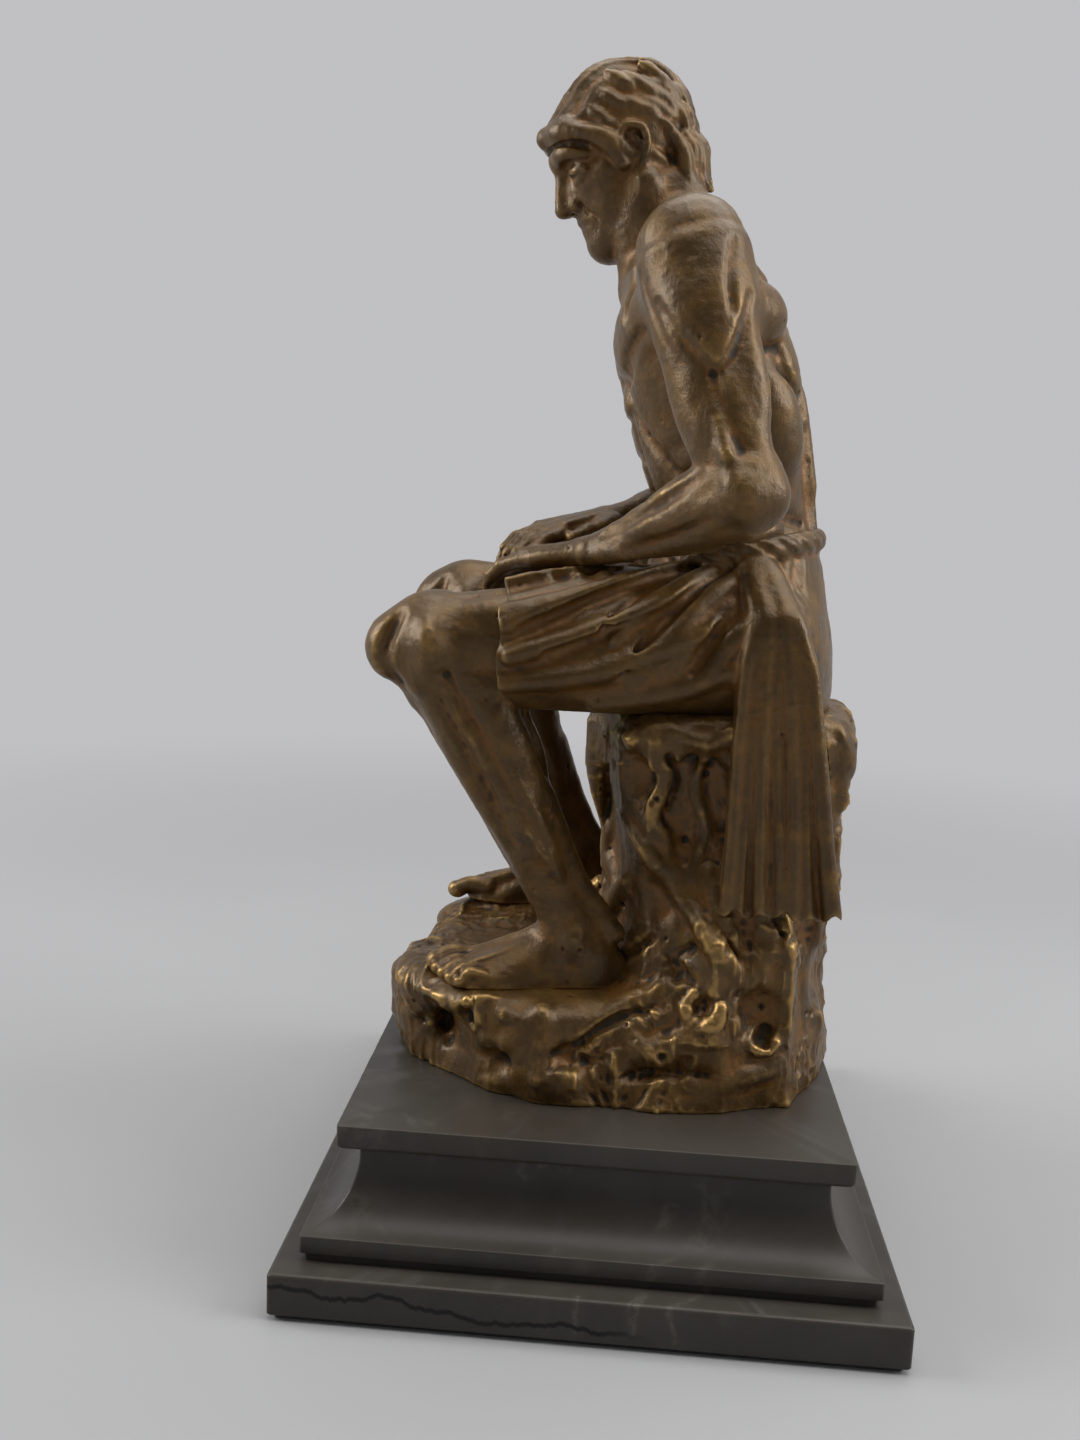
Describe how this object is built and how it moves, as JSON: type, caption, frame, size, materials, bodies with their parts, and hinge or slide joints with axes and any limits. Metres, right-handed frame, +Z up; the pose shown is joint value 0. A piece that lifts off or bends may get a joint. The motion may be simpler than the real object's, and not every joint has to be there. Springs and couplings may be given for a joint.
{
  "type": "seated figure statuette on stepped base",
  "caption": "Cast bronze statuette of a seated thoughtful man with folded hands, wearing a hip cloth, on a rough rock above a moulded black marble base.",
  "frame": {"origin": "centre of the base's underside, on the surface it stands on", "axes": "+Z up; the figure faces -X and its left side faces -Y"},
  "size_m": [0.135, 0.149, 0.2764],
  "materials": {
    "bronze": "brown patinated bronze, waxed, with a soft sheen on the high places",
    "cloth_bronze": "brown patinated bronze, waxed, a little lighter on the folds",
    "rock_bronze": "brown patinated bronze, rough cast, rubbed to gold on the ridges",
    "marble": "polished black marble with faint veins",
    "steel": "plain zinc plated",
    "felt": "black felt"
  },
  "bodies": {
    "root": {"felt_sheet": "felt", "bottom_slab": "marble", "moulded_block": "marble", "studs": "steel", "washers": "steel", "spring_washers": "steel", "nuts": "steel", "cross_bar": "steel", "rock": "rock_bronze", "hips": "cloth_bronze", "cloth_end": "cloth_bronze", "trunk": "bronze", "head": "bronze", "left_arm": "bronze", "right_arm": "bronze", "left_leg": "bronze", "right_leg": "bronze"}
  },
  "joints": []
}
